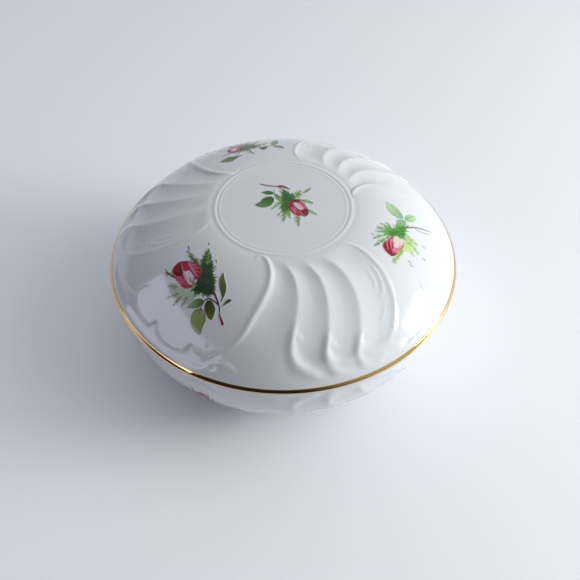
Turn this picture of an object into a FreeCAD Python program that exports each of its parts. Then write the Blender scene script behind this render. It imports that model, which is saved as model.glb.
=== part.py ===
import FreeCAD, Part
import Sketcher
import math
import os

# Porcelain trinket box: a domed lid with a fired gold edge on a low bowl. Millimetres, +Z up.
# Origin: centre of the bowl's foot ring, on the surface it stands on.

os.makedirs("parts", exist_ok=True)
doc = FreeCAD.newDocument("trinket_box")

# ---------------------------------------------------------------- driving dimensions
DIMENSIONS = {
    # shared by the lid and the bowl
    "rim_radius": "57.75",           # widest porcelain, just below the gold band
    "seat_height": "35.1",           # where the lid's edge rests on the bowl
    "shell": "3.4",                  # porcelain thickness
    # gold band, on the lowest part of the lid's slope
    "band_depth": "0.3",
    "band_top_out": "57",
    "band_top_up": "37.46",
    "band_low_up": "36.34",          # white porcelain shows below this
    # lid
    "edge_chamfer": "0.35",
    "lid_mouth_radius": "52.2",      # inside of the lid's thick edge
    "lid_edge_height": "3.6",
    "skirt_radius": "49",            # arc just above the gold band
    "shoulder_radius": "44.82",      # arc from the skirt to the medallion
    "shoulder_centre_out": "19.54",
    "shoulder_centre_up": "12.7",
    "join_out": "50.9",              # where the two arcs meet
    "medallion_radius": "20.4",
    "medallion_crown": "0.6",
    "bead_outer_radius": "21.8",
    "bead_inner_radius": "20.4",
    "bead_size": "0.5",
    "bead_sink": "0.28",
    # bowl
    "bowl_radius": "55.5",
    "belly_radius": "26",
    "belly_centre_out": "29.5",
    "belly_centre_up": "30.1",
    "lip_radius": "51.8",            # 0.4 mm clear of the lid's mouth
    "lip_height": "3.2",
    "lip_thickness": "2.4",
    "mouth_depth": "5.7",
    "foot_outer_radius": "31",
    "foot_inner_radius": "27.6",
    "base_underside": "2.2",
    # swirl flutes: three panels of four, on the lid and on the bowl
    "panel_count": "3",
    "flute_pitch": "13.5",
    "first_flute_angle": "-91",
    "flute_tool_radius": "9",
    "flute_depth": "0.7",
}
DERIVED = {
    "band_slope": "=sqrt((rim_radius - band_top_out) ^ 2 + (band_top_up - band_low_up) ^ 2)",
    "band_step_out": "=band_depth * (band_top_up - band_low_up) / band_slope",
    "band_step_up": "=band_depth * (rim_radius - band_top_out) / band_slope",
    "face_low_out": "=rim_radius + band_step_out",
    "face_low_up": "=band_low_up + band_step_up",
    "face_top_out": "=band_top_out + band_step_out",
    "face_top_up": "=band_top_up + band_step_up",
    "chamfer_out": "=rim_radius - edge_chamfer",
    "chamfer_up": "=seat_height + edge_chamfer",
    "lid_inner_up": "=seat_height + lid_edge_height",
    "join_up": "=shoulder_centre_up + sqrt(shoulder_radius ^ 2 - (join_out - shoulder_centre_out) ^ 2)",
    "medallion_up": "=shoulder_centre_up"
                    " + sqrt(shoulder_radius ^ 2 - (medallion_radius - shoulder_centre_out) ^ 2)",
    "crown_up": "=medallion_up + medallion_crown",
    "crown_radius": "=(medallion_radius ^ 2 + medallion_crown ^ 2) / (2 * medallion_crown)",
    "shoulder_inner": "=shoulder_radius - shell",
    "lid_inner_out": "=shoulder_centre_out"
                     " + sqrt(shoulder_inner ^ 2 - (lid_inner_up - shoulder_centre_up) ^ 2)",
    "ceiling_up": "=shoulder_centre_up + shoulder_inner",
    "bead_up": "=medallion_up - bead_sink",
    "lip_top": "=seat_height + lip_height",
    "lip_inner": "=lip_radius - lip_thickness",
    "mouth_bottom": "=seat_height + lip_height - mouth_depth",
    "belly_bottom": "=belly_centre_up - belly_radius",
    "belly_inner": "=belly_radius - shell",
    "wall_inner": "=belly_centre_out + belly_inner",
    "floor_up": "=belly_centre_up - belly_inner",
    "foot_join_up": "=belly_centre_up"
                    " - sqrt(belly_radius ^ 2 - (foot_outer_radius - belly_centre_out) ^ 2)",
}

sheet = doc.addObject("Spreadsheet::Sheet", "dims")
for row, (name, value) in enumerate({**DIMENSIONS, **DERIVED}.items(), start=1):
    sheet.set(f"A{row}", name)
    sheet.set(f"B{row}", value)
    sheet.setAlias(f"B{row}", name)
doc.recompute()


def dim(name):
    """The value of one named cell; 'zero' is the axis or the table."""
    return 0.0 if name == "zero" else float(getattr(sheet, name))


# ---------------------------------------------------------------- helpers
def new_body(label):
    body = doc.addObject("PartDesign::Body", label)
    body.Label = label
    return body


def origin_part(body, role):
    return next(item for item in body.Origin.OriginFeatures if item.Role == role)


def arc_between(start, end, radius):
    """The short arc of the given radius; a negative radius bows it to the other side."""
    chord = end - start
    side = FreeCAD.Vector(-chord.y, chord.x, 0).normalize()
    rise = math.sqrt(radius ** 2 - (chord.Length / 2) ** 2)
    centre = (start + end) * 0.5 + side * math.copysign(rise, radius)
    first = math.atan2(start.y - centre.y, start.x - centre.x)
    last = math.atan2(end.y - centre.y, end.x - centre.x)
    circle = Part.Circle(centre, FreeCAD.Vector(0, 0, 1), abs(radius))
    return Part.ArcOfCircle(circle, first, last) if radius > 0 else Part.ArcOfCircle(circle, last, first)


def pin_point(sketch, index, end, out, up):
    """Fix one end of one edge to two named cells (out from the axis, up from the table)."""
    for axis, name in (("DistanceX", out), ("DistanceY", up)):
        if name == "zero":
            # a zero distance can't be a signed dimension, so the point is put on the axis
            line = -2 if axis == "DistanceX" else -1
            sketch.addConstraint(Sketcher.Constraint("PointOnObject", index, end, line))
            continue
        number = sketch.addConstraint(Sketcher.Constraint(axis, index, end, dim(name)))
        sketch.setExpression(f"Constraints[{number}]", f"dims.{name}")


def section_sketch(body, corners):
    """Closed half-section. Each corner is (out, up) or (out, up, radius of the arc leading to it)."""
    sketch = body.newObject("Sketcher::SketchObject", f"{body.Label}_section")
    sketch.AttachmentSupport = [(origin_part(body, "XZ_Plane"), "")]
    sketch.MapMode = "FlatFace"
    points = [FreeCAD.Vector(dim(corner[0]), dim(corner[1]), 0) for corner in corners]
    for index, corner in enumerate(corners):
        start, end = points[index - 1], points[index]
        if len(corner) == 2:
            sketch.addGeometry(Part.LineSegment(start, end))
            end_point = 2
        else:
            name = corner[2].lstrip("-")
            sign = -1 if corner[2].startswith("-") else 1
            sketch.addGeometry(arc_between(start, end, sign * dim(name)))
            number = sketch.addConstraint(Sketcher.Constraint("Radius", index, dim(name)))
            sketch.setExpression(f"Constraints[{number}]", f"dims.{name}")
            end_point = 2 if sign > 0 else 1
        pin_point(sketch, index, end_point, corner[0], corner[1])
    ends = [1 if len(c) == 3 and c[2].startswith("-") else 2 for c in corners]
    for index in range(len(corners)):
        sketch.addConstraint(
            Sketcher.Constraint("Coincident", index - 1 if index else len(corners) - 1, ends[index - 1],
                                index, 3 - ends[index]))
    doc.recompute()
    return sketch


def revolve(body, corners):
    sketch = section_sketch(body, corners)
    turned = body.newObject("PartDesign::Revolution", f"{body.Label}_revolution")
    turned.Profile = sketch
    turned.ReferenceAxis = (sketch, ["V_Axis"])
    turned.Angle = 360
    doc.recompute()
    return turned


def add_bead(body, name, radius_cell):
    """A half-round ring that stands on the lid around the medallion."""
    bead = body.newObject("PartDesign::AdditiveTorus", name)
    bead.setExpression("Radius1", f"dims.{radius_cell}")
    bead.setExpression("Radius2", "dims.bead_size")
    bead.setExpression("Placement.Base.z", "dims.bead_up")
    doc.recompute()


def flute(body, name, stations):
    """One swirl flute: a ring-shaped cutter through three points that hang over the surface."""
    first, middle, last = stations
    a, b = middle - first, last - first
    normal = a.cross(b)
    centre = first + (normal.cross(a) * b.dot(b) + b.cross(normal) * a.dot(a)) * (0.5 / normal.dot(normal))
    radius = (first - centre).Length
    sweep = math.degrees((first - centre).getAngle(last - centre))
    cutter = body.newObject("PartDesign::SubtractiveTorus", name)
    cutter.Radius1 = radius
    cutter.setExpression("Radius2", "dims.flute_tool_radius")
    cutter.Angle3 = sweep
    out = (first - centre).normalize()
    up = normal.normalize()
    cutter.Placement = FreeCAD.Placement(centre, FreeCAD.Rotation(out, up.cross(out), up, "ZXY"))
    doc.recompute()
    return cutter


def on_arc(centre_out, centre_up, radius, out, angle, lift, below=False):
    """Point lifted off a revolved arc at distance out from the axis, and at a plan angle in degrees."""
    run = out - centre_out
    rise = math.sqrt(radius ** 2 - run ** 2) * (-1 if below else 1)
    normal_out, normal_up = run / radius, rise / radius
    reach = out + normal_out * lift
    turn = math.radians(angle)
    return FreeCAD.Vector(reach * math.cos(turn), reach * math.sin(turn),
                          centre_up + rise + normal_up * lift)


def fluted_panels(body, stations_for):
    """Four flutes side by side in each panel; the panels are spaced evenly around the box."""
    panels = int(dim("panel_count"))
    for panel in range(panels):
        for index in range(4):
            angle = dim("first_flute_angle") + index * dim("flute_pitch") + panel * 360 / panels
            body.Tip = flute(body, f"{body.Label}_flute_{panel + 1}_{index + 1}", stations_for(angle))
    doc.recompute()


def lid_stations(base_angle):
    """Near the medallion, at mid-panel and near the edge; the flute fades out at both ends."""
    arc = (dim("shoulder_centre_out"), dim("shoulder_centre_up"), dim("shoulder_radius"))
    clear = dim("flute_tool_radius")
    bite = dim("flute_tool_radius") - dim("flute_depth")
    return (on_arc(*arc, 25, base_angle, clear),
            on_arc(*arc, 39.5, base_angle + 3, bite),
            on_arc(*arc, 52.5, base_angle - 2, clear))


def bowl_stations(base_angle):
    """Below the bowl's shoulder, at mid-wall and near the foot."""
    arc = (dim("belly_centre_out"), dim("belly_centre_up"), dim("belly_radius"))
    clear = dim("flute_tool_radius")
    bite = dim("flute_tool_radius") - dim("flute_depth")
    return (on_arc(*arc, 55.2, base_angle - 2, clear, below=True),
            on_arc(*arc, 48.5, base_angle + 3, bite, below=True),
            on_arc(*arc, 36.5, base_angle - 1, clear, below=True))


# ---------------------------------------------------------------- bowl
def build_bowl():
    """Turned bowl: foot ring, belly, shoulder that carries the lid and a lip that centres it."""
    bowl = new_body("bowl")
    revolve(bowl, [
        ("zero", "base_underside"),
        ("foot_inner_radius", "base_underside"),
        ("foot_inner_radius", "zero"),
        ("foot_outer_radius", "zero"),
        ("foot_outer_radius", "foot_join_up"),
        ("bowl_radius", "belly_centre_up", "belly_radius"),
        ("bowl_radius", "seat_height"),
        ("lip_radius", "seat_height"),
        ("lip_radius", "lip_top"),
        ("lip_inner", "lip_top"),
        ("lip_inner", "mouth_bottom"),
        ("wall_inner", "belly_centre_up"),
        ("belly_centre_out", "floor_up", "-belly_inner"),
        ("zero", "floor_up"),
    ])
    fluted_panels(bowl, bowl_stations)
    return bowl


# ---------------------------------------------------------------- lid
def build_lid():
    """Turned dome with a thick flat edge, a beaded medallion on top and a hollow underneath."""
    lid = new_body("lid")
    revolve(lid, [
        ("zero", "ceiling_up"),
        ("shoulder_centre_out", "ceiling_up"),
        ("lid_inner_out", "lid_inner_up", "-shoulder_inner"),
        ("lid_mouth_radius", "lid_inner_up"),
        ("lid_mouth_radius", "seat_height"),
        ("chamfer_out", "seat_height"),
        ("rim_radius", "chamfer_up"),
        ("rim_radius", "band_low_up"),
        ("band_top_out", "band_top_up"),
        ("join_out", "join_up", "skirt_radius"),
        ("medallion_radius", "medallion_up", "shoulder_radius"),
        ("zero", "crown_up", "crown_radius"),
    ])
    add_bead(lid, "medallion_outer_bead", "bead_outer_radius")
    add_bead(lid, "medallion_inner_bead", "bead_inner_radius")
    fluted_panels(lid, lid_stations)
    return lid


# ---------------------------------------------------------------- gold band
def build_band():
    """Fired gold on the lowest part of the lid's slope: a thin ring that lies along it."""
    band = new_body("lid_gilt_band")
    revolve(band, [
        ("rim_radius", "band_low_up"),
        ("face_low_out", "face_low_up"),
        ("face_top_out", "face_top_up"),
        ("band_top_out", "band_top_up"),
    ])
    return band


# ---------------------------------------------------------------- build, check, write
parts = [build_bowl(), build_lid(), build_band()]
doc.recompute()

for item in doc.Objects:
    assert "Invalid" not in item.State and "Error" not in item.State, f"{item.Label}: {item.State}"
for part in parts:
    assert not part.Shape.isNull() and part.Shape.isValid(), part.Label
    assert len(part.Shape.Solids) == 1, f"{part.Label}: {len(part.Shape.Solids)} solids"
    part.Shape.exportStep(f"parts/{part.Label}.step")
    box = part.Shape.optimalBoundingBox(False)
    print(f"{part.Label}: {box.XLength:.2f} x {box.YLength:.2f} x {box.ZLength:.2f} mm,"
          f" z {box.ZMin:.2f} to {box.ZMax:.2f}, volume {part.Shape.Volume:.1f}")
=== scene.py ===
import math

import bpy
import numpy as np
from mathutils import Matrix, Vector


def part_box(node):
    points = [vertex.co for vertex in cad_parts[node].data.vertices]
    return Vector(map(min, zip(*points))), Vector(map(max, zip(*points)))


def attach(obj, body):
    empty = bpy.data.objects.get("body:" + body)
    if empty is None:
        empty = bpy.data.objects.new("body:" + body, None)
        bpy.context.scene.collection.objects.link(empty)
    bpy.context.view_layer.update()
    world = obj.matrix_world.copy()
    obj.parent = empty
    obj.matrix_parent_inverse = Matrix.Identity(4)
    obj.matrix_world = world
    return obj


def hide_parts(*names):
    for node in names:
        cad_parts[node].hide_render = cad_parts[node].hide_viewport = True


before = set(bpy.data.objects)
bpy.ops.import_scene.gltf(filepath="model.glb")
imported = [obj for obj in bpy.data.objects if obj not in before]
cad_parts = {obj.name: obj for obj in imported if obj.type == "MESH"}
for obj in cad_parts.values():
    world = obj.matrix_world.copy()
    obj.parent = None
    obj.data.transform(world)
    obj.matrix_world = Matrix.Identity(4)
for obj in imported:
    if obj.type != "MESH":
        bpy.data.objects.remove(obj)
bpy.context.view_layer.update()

# All design values are in millimetres; meshes are written in metres.
MM = 0.001

# ---------------------------------------------------------------- sizes read from the model
lid_low, lid_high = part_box("lid")
SEAT_UP = lid_low.z / MM                        # where the lid's edge rests on the bowl
RIM_OUT = lid_high.x / MM                       # widest porcelain of the lid
RIM_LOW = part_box("lid_gilt_band")[0].z / MM     # lower edge of the gold
LIP_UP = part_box("bowl")[1].z / MM               # top of the bowl's locating lip

# ---------------------------------------------------------------- sizes of the sections
GOLD_OUT = 57.0                                 # upper edge of the gold
LID_MOUTH = 52.2                                # inside of the lid's thick edge
LID_EDGE_HEIGHT = 3.6
SHELL = 3.4                                     # porcelain thickness
BELLY_OUT, BELLY_UP, BELLY_RADIUS = 29.5, 30.1, 26.0
BOWL_RADIUS = BELLY_OUT + BELLY_RADIUS
LIP_RADIUS, LIP_INNER, MOUTH_DEPTH = 51.8, 49.4, 4.8
FOOT_OUT, FOOT_IN, FOOT_UNDER = 31.0, 27.6, 2.2
FLAT_OUT = 12                                   # ring that closes the flat floor and underside

# lid arcs: centre out from the axis, centre up, radius
SHOULDER = (19.54, 12.7, 44.82)
SKIRT = (16.61, 9.71, 49.0)
JOIN_OUT = 50.9
# raised ring around the medallion: an outer and an inner bead, and the crown inside them
OUTER_BEAD, INNER_BEAD = 21.8, 20.4
CROWN = 0.6


# ================================================================ curves
def smooth_curve(points, spacing=0.35):
    """Rounded curve through the points, resampled evenly."""
    p = np.array(points, float)
    if len(p) > 2:
        ext = np.vstack([2 * p[0] - p[1], p, 2 * p[-1] - p[-2]])
        t = np.linspace(0, 1, 12, endpoint=False)[:, None]
        pieces = []
        for a, b, c, d in zip(ext[:-3], ext[1:-2], ext[2:-1], ext[3:]):
            pieces.append(0.5 * (2 * b + (c - a) * t + (2 * a - 5 * b + 4 * c - d) * t ** 2
                                 + (3 * b - a - 3 * c + d) * t ** 3))
        p = np.vstack(pieces + [p[-1:]])
    along = np.r_[0, np.cumsum(np.hypot(*np.diff(p, axis=0).T))]
    count = max(3, int(along[-1] / spacing) + 1)
    at = np.linspace(0, along[-1], count)
    return np.c_[np.interp(at, along, p[:, 0]), np.interp(at, along, p[:, 1])]


def step(value, low, high):
    """Smooth rise from 0 at low to 1 at high."""
    t = np.clip((value - low) / (high - low), 0, 1)
    return t * t * (3 - 2 * t)


def turned(x, y, degrees):
    """Plan point turned about the axis."""
    c, s = math.cos(math.radians(degrees)), math.sin(math.radians(degrees))
    return x * c - y * s, x * s + y * c


# ================================================================ relief, seen in plan
# One third of the pattern: the fluted panel that faces -Y and the plain panel on its left.
RIDGES = [
    [(-4.5, -24.2), (-3.7, -26.5), (-3.4, -29.2), (-3.8, -32.2), (-4.7, -34.9), (-6.4, -38.2),
     (-8.4, -41.3), (-10.4, -44.3), (-13.1, -46.8), (-16.4, -48.4)],
    [(0.7, -25.3), (2.3, -27.5), (3.7, -30.5), (4.5, -34.2), (4.6, -38.2), (4.0, -42.3), (3.4, -46.6),
     (2.8, -49.6)],
    [(6.7, -24.0), (8.7, -26.5), (11.1, -29.5), (12.6, -33.2), (13.4, -36.9), (13.7, -40.9), (13.6, -44.9),
     (12.9, -49.0)],
    [(12.1, -22.5), (16.1, -24.8), (19.1, -28.2), (21.5, -32.2), (22.6, -36.2), (23.1, -40.2),
     (23.1, -44.3), (22.3, -48.0)],
    [(16.6, -16.6), (22.1, -17.1), (27.2, -20.7), (31.2, -25.6), (33.5, -31.8), (33.4, -38.4),
     (31.4, -43.8)],
]
FLUTE_DEPTH = 0.54
BOWL_RELIEF = 0.6       # height of the bowl's pattern against the lid's

# raised lines: points, half-width at the start / middle / end, height
STROKES = [
    # thick edge of the fluted panel with its hooked head
    ([(-7.8, -23.4), (-7.2, -22.2), (-5.8, -22.3), (-4.5, -24.2), (-3.7, -26.5), (-3.4, -29.2),
      (-3.8, -32.2), (-4.7, -34.9), (-6.4, -38.2), (-8.4, -41.3), (-10.4, -44.3), (-13.1, -46.8),
      (-16.4, -48.4)], (0.5, 1.2, 0.6), 0.36),
    # far edge of the fluted panel
    ([(16.6, -16.6), (22.1, -17.1), (27.2, -20.7), (31.2, -25.6), (33.5, -31.8), (33.4, -38.4),
      (31.4, -43.8)], (0.5, 0.85, 0.5), 0.17),
    # curled ends of the ridges
    ([(4.0, -43.0), (2.9, -46.8), (2.8, -49.6), (4.0, -51.9), (6.6, -53.4), (10.0, -54.0), (13.0, -53.8)],
     (0.8, 1.75, 0.6), 0.40),
    ([(13.9, -43.8), (13.1, -47.4), (13.2, -49.9), (14.8, -51.9), (17.4, -52.8), (20.4, -52.4),
      (22.6, -51.2)], (0.8, 1.7, 0.6), 0.38),
    ([(23.2, -42.6), (22.4, -46.0), (22.6, -48.2), (24.4, -49.6), (27.0, -49.2), (29.2, -47.4),
      (30.8, -45.4)], (0.8, 1.5, 0.6), 0.32),
    ([(4.7, -45.8), (5.4, -47.0)], (0.7, 0.9, 0.7), 0.22),
    ([(14.8, -46.4), (15.5, -47.6)], (0.7, 0.9, 0.7), 0.2),
    # nested curls inside the far edge
    ([(26.6, -22.6), (28.6, -25.2), (29.8, -28.0), (30.2, -30.4), (29.6, -31.8), (28.4, -31.6)],
     (0.3, 0.55, 0.4), 0.15),
    ([(25.4, -24.4), (27.2, -27.0), (28.0, -29.4), (27.6, -30.8)], (0.25, 0.45, 0.3), 0.12),
    ([(30.6, -33.6), (30.4, -36.6), (28.8, -39.0)], (0.3, 0.45, 0.3), 0.12),
    # scrolls along the lower border of the plain panel
    ([(-40.4, -26.5), (-42.2, -25.4), (-43.7, -25.4), (-44.6, -26.5), (-44.9, -28.2), (-44.0, -30.6),
      (-42.9, -32.7), (-41.4, -34.7), (-40.0, -35.9), (-38.7, -36.1), (-37.7, -35.5)],
     (0.28, 0.42, 0.28), 0.3),
    ([(-36.0, -36.0), (-37.3, -36.1), (-38.0, -37.2), (-37.4, -39.4), (-35.7, -41.5), (-33.6, -43.2),
      (-31.1, -44.8), (-28.7, -45.6), (-27.3, -45.3), (-26.7, -44.3)], (0.28, 0.42, 0.28), 0.3),
    ([(-26.7, -44.3), (-25.7, -46.2), (-24.1, -47.5), (-21.9, -48.3), (-19.4, -48.2), (-17.6, -47.2)],
     (0.3, 0.5, 0.3), 0.32),
    # small leaves and a bud under the scrolls
    ([(-19.6, -50.2), (-16.8, -51.2), (-13.0, -53.2)], (0.5, 0.8, 0.15), 0.3),
    ([(-20.4, -50.4), (-22.4, -50.7), (-24.6, -50.2)], (0.45, 0.6, 0.2), 0.26),
    ([(-22.7, -45.6), (-21.6, -45.3)], (0.55, 0.75, 0.55), 0.28),
]
# where the plain panel steps down towards the rim: plan angle and distance out
BORDER_ANGLE = [-172, -160, -150, -147, -143, -139, -136.2, -134.8, -131, -127, -123, -120.7,
                -118, -114, -109]
BORDER_OUT = [54.6, 54.0, 52.0, 53.2, 53.9, 54.0, 52.2, 53.6, 54.7, 54.8, 54.2, 52.0,
              53.3, 53.0, 51.0]
BORDER_STEP = 0.38

# where the whole pattern rises beside the medallion, and where it fades at the rim
PATTERN_START, PATTERN_END = (22.4, 23.4), (55.0, 56.4)
# rings round the medallion: two beads, the groove between them and the one outside them
RINGS = ((OUTER_BEAD, 0.55, 0.10), (INNER_BEAD, 0.4, 0.06), (21.1, 0.3, -0.04), (23.0, 0.8, -0.05))


def ridge_angle(ridge, out):
    """Plan angle of a ridge, in degrees, at each distance out from the axis."""
    curve = smooth_curve(ridge)
    r = np.hypot(curve[:, 0], curve[:, 1])
    order = np.argsort(r)
    angle = np.degrees(np.arctan2(curve[:, 1], curve[:, 0]))
    return np.interp(out, r[order], angle[order])


def stroke_height(x, y, points, widths, height):
    """A raised line with a faint groove beside it."""
    curve = smooth_curve(points)
    reach = 3.2 * max(widths)
    low, high = curve.min(0) - reach, curve.max(0) + reach
    near = np.flatnonzero((x > low[0]) & (x < high[0]) & (y > low[1]) & (y < high[1]))
    result = np.zeros(len(x))
    if not len(near):
        return result
    gap = np.hypot(x[near, None] - curve[None, :, 0], y[near, None] - curve[None, :, 1])
    at = gap.argmin(1)
    t = at / (len(curve) - 1)
    width = np.interp(t, [0, 0.5, 1], widths)
    d = gap[np.arange(len(near)), at] / width
    fade = 0.25 + 0.75 * step(t, 0, 0.16) * (1 - step(t, 0.8, 1))
    result[near] = height * fade * (1.22 * np.exp(-d ** 2) - 0.22 * np.exp(-(d / 1.9) ** 2))
    return result


def flutes(x, y):
    """Hollow channels between the ridges, ending in rounded cups near the rim."""
    out = np.hypot(x, y)
    angle = np.degrees(np.arctan2(y, x))
    edges = [ridge_angle(ridge, out) for ridge in RIDGES]
    depth = np.zeros(len(x))
    for index in range(4):
        left, right = edges[index], edges[index + 1]
        f = (angle - left) / np.maximum(right - left, 1e-6)
        inside = (f > 0) & (f < 1)
        # 0 on a ridge, 1 midway between two; the small offset rounds the ridge's crest
        q = 1 - np.abs(2 * f - 1)
        q = np.sqrt(np.clip(q, 0, 1) ** 2 + 0.07 ** 2) - 0.07
        hollow = 1 - (1 - np.clip(q, 0, 1)) ** 2
        if index == 0:
            # the first channel runs out into the rim zone
            fade = 1 - step(out, 43, 53)
        else:
            cup = 49.6 + 3.8 * np.sqrt(np.clip(1 - ((f - 0.6) / 0.62) ** 2, 0, 1))
            fade = 1 - step(out, cup - 1.6, cup + 0.5)
        depth += np.where(inside, hollow * fade * step(out, 23.5, 30), 0)
    return -FLUTE_DEPTH * depth


def border_drop(x, y):
    """The rim zone lies lower than the plain panel."""
    out = np.hypot(x, y)
    angle = np.degrees(np.arctan2(y, x))
    edge = np.interp(angle, BORDER_ANGLE, BORDER_OUT)
    first, last = BORDER_ANGLE[0], BORDER_ANGLE[-1]
    inside = (angle >= first) & (angle <= last)
    fade = step(angle, first, first + 6) * (1 - step(angle, last - 4, last))
    return np.where(inside, -BORDER_STEP * step(out - edge, -0.2, 0.25) * fade, 0)


def relief(x, y, medallion):
    """Height of the moulded pattern above the plain surface; softer on the bowl, which has no medallion."""
    x, y = np.asarray(x, float), np.asarray(y, float)
    total = np.zeros(len(x))
    out = np.hypot(x, y)
    for third in range(3):
        px, py = turned(x, y, 120 * third)
        total += flutes(px, py) + border_drop(px, py)
        for points, widths, height in STROKES:
            total += stroke_height(px, py, points, widths, height)
    total *= (1 - step(out, *PATTERN_END)) * step(out, *PATTERN_START) * (1 if medallion else BOWL_RELIEF)
    if medallion:
        for ring, width, height in RINGS:
            total += height * np.exp(-((out - ring) / width) ** 2)
    return total


# ================================================================ plain surfaces
def lid_surface(out):
    """Height and outward normal of the lid's plain dome, at a distance out from the axis."""
    out = np.asarray(out, float)
    edge_up = SHOULDER[1] + math.sqrt(SHOULDER[2] ** 2 - (INNER_BEAD - SHOULDER[0]) ** 2)
    up, normal_out, normal_up = np.zeros_like(out), np.zeros_like(out), np.ones_like(out)
    flat = out < INNER_BEAD
    up[flat] = edge_up + CROWN * (1 - (out[flat] / INNER_BEAD) ** 2)
    for (centre_out, centre_up, radius), part in ((SHOULDER, (out >= INNER_BEAD) & (out < JOIN_OUT)),
                                                  (SKIRT, out >= JOIN_OUT)):
        run = out[part] - centre_out
        rise = np.sqrt(radius ** 2 - run ** 2)
        up[part] = centre_up + rise
        normal_out[part], normal_up[part] = run / radius, rise / radius
    return out, up, normal_out, normal_up


BOWL_SCALE = 0.764   # plan distance per millimetre of wall, measured down from the lid
WALL_TOP = 57.0      # plan distance that stands for the top of the wall


def bowl_surface(out):
    """The bowl's outside wall, unrolled: out is WALL_TOP at the lid and falls towards the foot."""
    down = (WALL_TOP - np.asarray(out, float)) / BOWL_SCALE
    straight = SEAT_UP - BELLY_UP
    turn = np.clip(down - straight, 0, None) / BELLY_RADIUS
    normal_out, normal_up = np.cos(turn), -np.sin(turn)
    radius = BELLY_OUT + BELLY_RADIUS * normal_out
    up = np.where(down < straight, SEAT_UP - down, BELLY_UP + BELLY_RADIUS * normal_up)
    return radius, up, normal_out, normal_up


def place(surface, x, y, lift):
    """Points on a surface above plan points, raised by lift along the normal."""
    out = np.hypot(x, y)
    radius, up, normal_out, normal_up = surface(out)
    reach = radius + normal_out * lift
    safe = np.maximum(out, 1e-9)
    return np.c_[reach * x / safe, reach * y / safe, up + normal_up * lift] * MM


# ================================================================ mesh helpers
def new_mesh(name, points, faces, material):
    """A smooth-shaded mesh object."""
    mesh = bpy.data.meshes.new(name)
    mesh.from_pydata([tuple(p) for p in points], [], [tuple(f) for f in faces])
    mesh.update()
    mesh.polygons.foreach_set("use_smooth", [True] * len(mesh.polygons))
    obj = bpy.data.objects.new(name, mesh)
    bpy.context.scene.collection.objects.link(obj)
    mesh.materials.append(material)
    return obj


def revolved_shell(name, rings, material):
    """Closed skin from rings of points (each count x 3); the first and last ring close to one point."""
    count = len(rings[1])
    points = [rings[0][:1]] + rings[1:-1] + [rings[-1][:1]]
    points = np.vstack(points)
    last = len(points) - 1
    starts = [1 + count * i for i in range(len(rings) - 2)]
    around = np.arange(count)
    after = (around + 1) % count
    faces = [(0, 1 + a, 1 + b) for a, b in zip(around, after)]
    for start in starts[:-1]:
        faces += list(zip(start + around, start + count + around, start + count + after, start + after))
    faces += [(last, starts[-1] + b, starts[-1] + a) for a, b in zip(around, after)]
    return new_mesh(name, points, faces, material)


def ring_at(out, up, count):
    """A level ring of points around the axis."""
    angle = np.linspace(0, 2 * math.pi, count, endpoint=False)
    return np.c_[out * np.cos(angle), out * np.sin(angle), np.full(count, up)] * MM


def relief_rings(surface, outs, count, medallion):
    """One ring per plan distance, displaced by the moulded pattern."""
    angle = np.linspace(0, 2 * math.pi, count, endpoint=False)
    x = (outs[:, None] * np.cos(angle)).ravel()
    y = (outs[:, None] * np.sin(angle)).ravel()
    height = relief(x, y, medallion)
    points = place(surface, x, y, height).reshape(len(outs), count, 3)
    return list(points)


# ================================================================ materials
def principled(name, color, roughness, metallic=0.0, coat=0.0, subsurface=0.0):
    """A plain material and its shader node."""
    material = bpy.data.materials.new(name)
    material.use_nodes = True
    shader = material.node_tree.nodes["Principled BSDF"]
    for socket, value in (("Base Color", (*color, 1)), ("Roughness", roughness), ("Metallic", metallic),
                          ("Coat Weight", coat), ("Coat Roughness", 0.03), ("Subsurface Weight", subsurface),
                          ("Subsurface Radius", (0.002, 0.0018, 0.0015))):
        shader.inputs[socket].default_value = value
    return material, shader


def color_mix(tree, factor, low, high):
    """Blend from one colour to another by a shader value."""
    mix = tree.nodes.new("ShaderNodeMix")
    mix.data_type = "RGBA"
    mix.inputs[6].default_value = (*low, 1)
    mix.inputs[7].default_value = (*high, 1)
    tree.links.new(factor, mix.inputs[0])
    return mix.outputs[2]


def noise(material, scale, detail, low, high):
    """Noise between two values or two colours, in object space."""
    nodes, links = material.node_tree.nodes, material.node_tree.links
    where = nodes.new("ShaderNodeTexCoord")
    texture = nodes.new("ShaderNodeTexNoise")
    texture.inputs["Scale"].default_value = scale
    texture.inputs["Detail"].default_value = detail
    links.new(where.outputs["Object"], texture.inputs["Vector"])
    if isinstance(low, tuple):
        return color_mix(material.node_tree, texture.outputs["Fac"], low, high)
    spread = nodes.new("ShaderNodeMapRange")
    spread.inputs["To Min"].default_value = low
    spread.inputs["To Max"].default_value = high
    links.new(texture.outputs["Fac"], spread.inputs["Value"])
    return spread.outputs["Result"]


PORCELAIN = (0.70, 0.725, 0.745)
PORCELAIN_DARK, PORCELAIN_LIGHT = (0.69, 0.715, 0.735), (0.71, 0.735, 0.755)


def porcelain_material():
    """White body under a clear glaze, with a faint drift in tone and gloss."""
    material, shader = principled("glazed_porcelain", PORCELAIN, 0.12, coat=0.25, subsurface=0.12)
    links = material.node_tree.links
    links.new(noise(material, 55, 3, PORCELAIN_DARK, PORCELAIN_LIGHT), shader.inputs["Base Color"])
    links.new(noise(material, 140, 2, 0.07, 0.15), shader.inputs["Roughness"])
    return material


def print_material():
    """Glazed print, coloured by the mesh's own ink."""
    material, shader = principled("printed_rose", (1, 1, 1), 0.12, coat=0.1)
    nodes, links = material.node_tree.nodes, material.node_tree.links
    ink = nodes.new("ShaderNodeVertexColor")
    ink.layer_name = "ink"
    links.new(ink.outputs["Color"], shader.inputs["Base Color"])
    return material


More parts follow.
